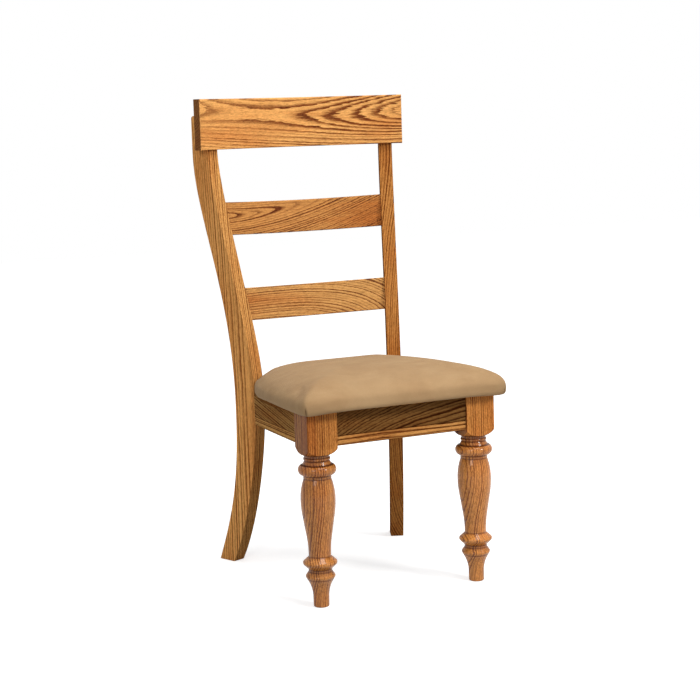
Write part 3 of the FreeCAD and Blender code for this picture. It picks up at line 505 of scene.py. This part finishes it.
def seat_outline():
    """The seat in plan: a bowed front and sides, round corners and a straight back."""
    def corner(start, tip, end, count):
        middle = ((start[0] + end[0]) / 2, (start[1] + end[1]) / 2)
        pull = math.sqrt(2) - 1
        through = (middle[0] + (tip[0] - middle[0]) * pull, middle[1] + (tip[1] - middle[1]) * pull)
        return arc_points(start, through, end, count)

    front_half = SEAT_FRONT_HALF - SEAT_FRONT_CORNER
    rear_half = SEAT_REAR_HALF - SEAT_REAR_CORNER
    near = (SEAT_FRONT_HALF, -SEAT_FRONT + SEAT_FRONT_CORNER)
    far = (SEAT_REAR_HALF, SEAT_REAR - SEAT_REAR_CORNER)
    run = (far[0] - near[0], far[1] - near[1])
    length = math.hypot(*run)
    bulge = ((near[0] + far[0]) / 2 + run[1] / length * SEAT_SIDE_BOW,
             (near[1] + far[1]) / 2 - run[0] / length * SEAT_SIDE_BOW)
    points = arc_points((0, -SEAT_FRONT - SEAT_FRONT_BOW),
                        (front_half / 2, -SEAT_FRONT - SEAT_FRONT_BOW * 0.75),
                        (front_half, -SEAT_FRONT), 40)
    points += corner((front_half, -SEAT_FRONT), (SEAT_FRONT_HALF, -SEAT_FRONT), near, 10)
    points += arc_points(near, bulge, far, 70)
    points += corner(far, (SEAT_REAR_HALF, SEAT_REAR), (rear_half, SEAT_REAR), 12)
    points += [(rear_half * (1 - i / 30), SEAT_REAR) for i in range(31)]
    return points + [(-x, y) for x, y in reversed(points[1:-1])]


def seat_profile():
    """Inset and height, from the bottom edge round the shoulder to the middle of the crown."""
    points = [(0.004, 0.0), (0.0022, BAND * 0.2), (0.0008, BAND * 0.5), (0.0, BAND * 0.8), (0.0, BAND)]
    for i in range(1, 9):
        angle = SHOULDER_SHARE * math.pi / 2 * i / 8
        points.append((SHOULDER_RUN * (1 - math.cos(angle)), BAND + SHOULDER_RISE * math.sin(angle)))
    inset, height = points[-1]
    for i in range(1, 30):
        part = 1 - i / 29.5
        points.append((SEAT_HALF - (SEAT_HALF - inset) * part,
                       height + CROWN * (1 - part ** CROWN_FULLNESS)))
    return points


def tilt(x, y, z):
    """From the level seat, measured from the legs' centre line, to its place on the sloping frame."""
    dy = y + 0.034
    dz = z - FRAME_TOP
    return Vector((x, FRAME_FRONT + dy * math.cos(SLOPE) + dz * math.sin(SLOPE),
                   FRAME_TOP - dy * math.sin(SLOPE) + dz * math.cos(SLOPE)))


def new_object(name, mesh):
    made = bpy.data.objects.new(name, mesh)
    scene.collection.objects.link(made)
    return made


def near_front_corner(x, y):
    """1 at a front corner of the level seat, fading to 0 some way along its edges."""
    away = math.hypot(abs(x) - SEAT_FRONT_HALF, y + SEAT_FRONT)
    return math.exp(-(away / CORNER_REACH) ** 2)


def seat_form():
    """The closed crowned form, before the posts' notches: the front corners are drawn down hard."""
    outline = seat_outline()
    bm = bmesh.new()
    rows = []
    for inset, rise in seat_profile():
        row = []
        for x, y in outline:
            corner = near_front_corner(x, y)
            on_side = math.exp(-((y - 0.14) / 0.13) ** 2) * (abs(x) > 0.17)
            in_by = inset
            level = rise
            if rise > BAND:
                fade = math.exp(-(inset / 0.055) ** 2)
                level -= CORNER_DROP * corner * fade * min(1.0, (rise - BAND) / 0.010)
                in_by = inset * (1 - 0.75 * corner * fade)
            else:
                level += SIDE_LIFT * on_side * (1 - rise / BAND)
                in_by += SIDE_TUCK * on_side * (1 - rise / BAND) ** 2
            scale = 1 - in_by / SEAT_HALF
            back = SEAT_MIDDLE + (y - SEAT_MIDDLE) * scale
            row.append(bm.verts.new(tilt(x * scale, back, SEAT_FOOT + level)))
        rows.append(row)
    for low, high in zip(rows, rows[1:]):
        for i in range(len(outline)):
            j = (i + 1) % len(outline)
            bm.faces.new((low[i], low[j], high[j], high[i]))
    bm.faces.new(rows[-1])
    bm.faces.new(list(reversed(rows[0])))
    bmesh.ops.recalc_face_normals(bm, faces=bm.faces)
    mesh = bpy.data.meshes.new("seat_form")
    bm.to_mesh(mesh)
    bm.free()
    return new_object("seat_cushion", mesh)


def apply_modifiers(made):
    graph = bpy.context.evaluated_depsgraph_get()
    mesh = bpy.data.meshes.new_from_object(made.evaluated_get(graph))
    made.modifiers.clear()
    made.data = mesh


def post_notch(side, clear):
    """A block that clears a rear post, to cut the seat's corner."""
    bm = bmesh.new()
    bmesh.ops.create_cube(bm, size=1.0)
    reach = 0.2
    for vert in bm.verts:
        v = POST_HALF + clear if vert.co.x > 0 else -reach
        u = POST_FRONT - clear if vert.co.y < 0 else reach
        z = 0.3 if vert.co.z < 0 else 0.6
        x = POST_SPREAD + u * math.sin(POST_TOE) - v * math.cos(POST_TOE)
        vert.co = (side * x, LEGS_Y + POST_BACK + u * math.cos(POST_TOE) + v * math.sin(POST_TOE), z)
    bmesh.ops.recalc_face_normals(bm, faces=bm.faces)
    mesh = bpy.data.meshes.new("notch")
    bm.to_mesh(mesh)
    bm.free()
    return new_object("notch", mesh)


def cushion():
    made = seat_form()
    for side in (-1, 1):
        notch = post_notch(side, NOTCH_GAP)
        cut = made.modifiers.new("notch", "BOOLEAN")
        cut.operation = "DIFFERENCE"
        cut.solver = "EXACT"
        cut.object = notch
        apply_modifiers(made)
        bpy.data.objects.remove(notch)
    remesh = made.modifiers.new("remesh", "REMESH")
    remesh.mode = "VOXEL"
    remesh.voxel_size = VOXEL
    apply_modifiers(made)
    soften(made, 2, 0.5)
    inflate(made)
    soften(made, 1, 0.5)
    smooth = made.modifiers.new("smooth", "SUBSURF")
    smooth.levels = 1
    smooth.render_levels = 1
    apply_modifiers(made)
    pull_corners(made)
    for face in made.data.polygons:
        face.use_smooth = True
    return made


def soften(made, times, factor):
    bm = bmesh.new()
    bm.from_mesh(made.data)
    for _ in range(times):
        bmesh.ops.smooth_vert(bm, verts=bm.verts, factor=factor, use_axis_x=True,
                              use_axis_y=True, use_axis_z=True)
    bm.to_mesh(made.data)
    bm.free()


def inflate(made):
    """Let the cloth swell under a little pressure from the foam. Its foot is tacked to the board."""
    rest = [vert.co.copy() for vert in made.data.vertices]
    group = made.vertex_groups.new(name="held")
    for vert in made.data.vertices:
        level = vert.co.z - (FRAME_TOP - (vert.co.y - FRAME_FRONT) * math.tan(SLOPE))
        if level < 0.006:
            group.add([vert.index], 1.0, "REPLACE")
    cloth = made.modifiers.new("cloth", "CLOTH")
    cloth.settings.vertex_group_mass = "held"
    cloth.settings.use_pressure = True
    cloth.settings.uniform_pressure_force = 3.0
    cloth.settings.effector_weights.gravity = 0.0
    cloth.settings.quality = 5
    cloth.settings.tension_stiffness = 20
    cloth.settings.compression_stiffness = 20
    cloth.settings.bending_stiffness = 2.0
    cloth.settings.mass = 0.4
    cloth.point_cache.frame_start = 1
    cloth.point_cache.frame_end = CLOTH_FRAMES
    for number in range(1, CLOTH_FRAMES + 1):
        scene.frame_set(number)
    apply_modifiers(made)
    scene.frame_set(1)
    for vert, start in zip(made.data.vertices, rest):
        move = vert.co - start
        tip = tilt(math.copysign(SEAT_FRONT_HALF, start.x), -SEAT_FRONT, SEAT_FOOT)
        away = math.hypot(start.x - tip.x, start.y - tip.y)
        share = 1 - math.exp(-(away / SWELL_REACH) ** 2)
        vert.co = start + move * (share * min(1.0, SWELL / max(move.length, 1e-9)))


def pull_corners(made):
    """At the two front corners the cloth is drawn down over the board and folded."""
    for vert in made.data.vertices:
        side = 1 if vert.co.x > 0 else -1
        tip = tilt(side * SEAT_FRONT_HALF, -SEAT_FRONT, SEAT_FOOT)
        away = math.hypot(vert.co.x - tip.x, vert.co.y - tip.y)
        level = vert.co.z - tip.z
        outside = max((abs(vert.co.x) - 0.2215) / 0.008, (-0.2565 - vert.co.y) / 0.008)
        if away < 0.16 and level < 0.034 and outside > 0:
            droop = DROOP * math.exp(-(away / 0.07) ** 2) * min(1.0, outside)
            vert.co.z -= droop * (1 - max(level, 0.0) / 0.034)
        if away > 0.045 or level > FOLD_TOP:
            continue
        outward = Vector((side, -1, 0)).normalized()
        across = Vector((-1, -side, 0)).normalized()
        reach = (vert.co - tip).dot(across) - CREASE
        fade = min(1.0, (FOLD_TOP - level) / 0.014)
        groove = math.exp(-(reach / 0.0022) ** 2) * FOLD_DEPTH
        lip = math.exp(-((reach + 0.0042) / 0.0026) ** 2) * LIP_HEIGHT
        vert.co += outward * (lip - groove) * fade


seat = cushion()
seat.data.materials.clear()
seat.data.materials.append(cover_cloth())
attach(seat, "root")
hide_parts("seat_cover", "seat_foam")


# Floor, background, lights and camera

def floor():
    """Pale floor. Seen directly it glows up to white and keeps the chair's shadow."""
    bm = bmesh.new()
    bmesh.ops.create_grid(bm, x_segments=1, y_segments=1, size=9.0)
    mesh = bpy.data.meshes.new("floor")
    bm.to_mesh(mesh)
    bm.free()
    made = new_object("floor", mesh)
    made.location.z = -0.0005
    t = Tree("pale floor")
    base = t.add("ShaderNodeBsdfDiffuse")
    base.inputs["Color"].default_value = (0.86, 0.86, 0.86, 1)
    dull = t.add("ShaderNodeBsdfDiffuse")
    dull.inputs["Color"].default_value = (0.42, 0.42, 0.42, 1)
    glow = t.add("ShaderNodeEmission")
    glow.inputs["Color"].default_value = (1, 1, 1, 1)
    place = t.add("ShaderNodeTexCoord").outputs["Object"]
    near = t.steps(t.vector("LENGTH", place, Vector((0, 0, 0))), 0.6, 1.6)
    t.feed(glow.inputs["Strength"], t.math("ADD", 0.62, t.math("MULTIPLY", near, 0.14)))
    both = t.add("ShaderNodeAddShader")
    t.feed(both.inputs[0], base.outputs[0])
    t.feed(both.inputs[1], glow.outputs[0])
    seen = t.add("ShaderNodeMixShader")
    path = t.add("ShaderNodeLightPath")
    direct = t.math("MAXIMUM", path.outputs["Is Camera Ray"], path.outputs["Is Glossy Ray"])
    t.feed(seen.inputs[0], t.math("MAXIMUM", direct, path.outputs["Is Transmission Ray"]))
    t.feed(seen.inputs[1], dull.outputs[0])
    t.feed(seen.inputs[2], both.outputs[0])
    t.feed(t.out.inputs["Surface"], seen.outputs[0])
    mesh.materials.append(t.material)


def world():
    """Soft light all round, and plain white where it is seen."""
    made = bpy.data.worlds.new("studio")
    made.use_nodes = True
    tree = made.node_tree
    tree.nodes.clear()
    out = tree.nodes.new("ShaderNodeOutputWorld")
    path = tree.nodes.new("ShaderNodeLightPath")
    soft = tree.nodes.new("ShaderNodeBackground")
    soft.inputs["Color"].default_value = (0.97, 0.98, 1.0, 1)
    soft.inputs["Strength"].default_value = 0.36
    white = tree.nodes.new("ShaderNodeBackground")
    white.inputs["Color"].default_value = (1, 1, 1, 1)
    white.inputs["Strength"].default_value = 1.0
    first = tree.nodes.new("ShaderNodeMath")
    first.operation = "MAXIMUM"
    second = tree.nodes.new("ShaderNodeMath")
    second.operation = "MAXIMUM"
    mix = tree.nodes.new("ShaderNodeMixShader")
    link = tree.links.new
    link(path.outputs["Is Camera Ray"], first.inputs[0])
    link(path.outputs["Is Glossy Ray"], first.inputs[1])
    link(first.outputs[0], second.inputs[0])
    link(path.outputs["Is Transmission Ray"], second.inputs[1])
    link(second.outputs[0], mix.inputs[0])
    link(soft.outputs[0], mix.inputs[1])
    link(white.outputs[0], mix.inputs[2])
    link(mix.outputs[0], out.inputs["Surface"])
    scene.world = made


def area_light(name, place, target, size, power, colour=(1, 1, 1)):
    data = bpy.data.lights.new(name, "AREA")
    data.shape = "SQUARE"
    data.size = size
    data.energy = power
    data.color = colour
    made = new_object(name, data)
    made.location = place
    made.rotation_mode = "QUATERNION"
    made.rotation_quaternion = (Vector(target) - Vector(place)).to_track_quat("-Z", "Y")


def camera():
    data = bpy.data.cameras.new("camera")
    data.sensor_width = 36
    data.lens = 83.20
    data.shift_x = -0.0143
    data.shift_y = -0.0571
    data.clip_end = 100
    made = new_object("camera", data)
    yaw, pitch, roll = (math.radians(angle) for angle in (-25.17, 6.72, -1.74))
    ahead = Vector((-math.sin(yaw) * math.cos(pitch), math.cos(yaw) * math.cos(pitch), -math.sin(pitch)))
    right = Vector((math.cos(yaw), math.sin(yaw), 0))
    up = right.cross(ahead)
    turned_right = right * math.cos(roll) + up * math.sin(roll)
    turned_up = up * math.cos(roll) - right * math.sin(roll)
    axes = Matrix((turned_right, turned_up, -ahead)).transposed()
    made.matrix_world = Matrix.Translation(Vector((-1.500, -3.029 + LEGS_Y, 1.011))) @ axes.to_4x4()
    scene.camera = made


floor()
world()
area_light("key", (2.1, -3.4, 2.9), (0, 0, 0.6), 0.9, 96, (1.0, 0.985, 0.96))
area_light("fill", (-3.0, -3.0, 2.3), (0, 0, 0.6), 1.6, 47)
area_light("top", (0.3, -1.0, 3.4), (0, 0, 0.4), 1.4, 62)
camera()
scene.view_settings.view_transform = "Standard"
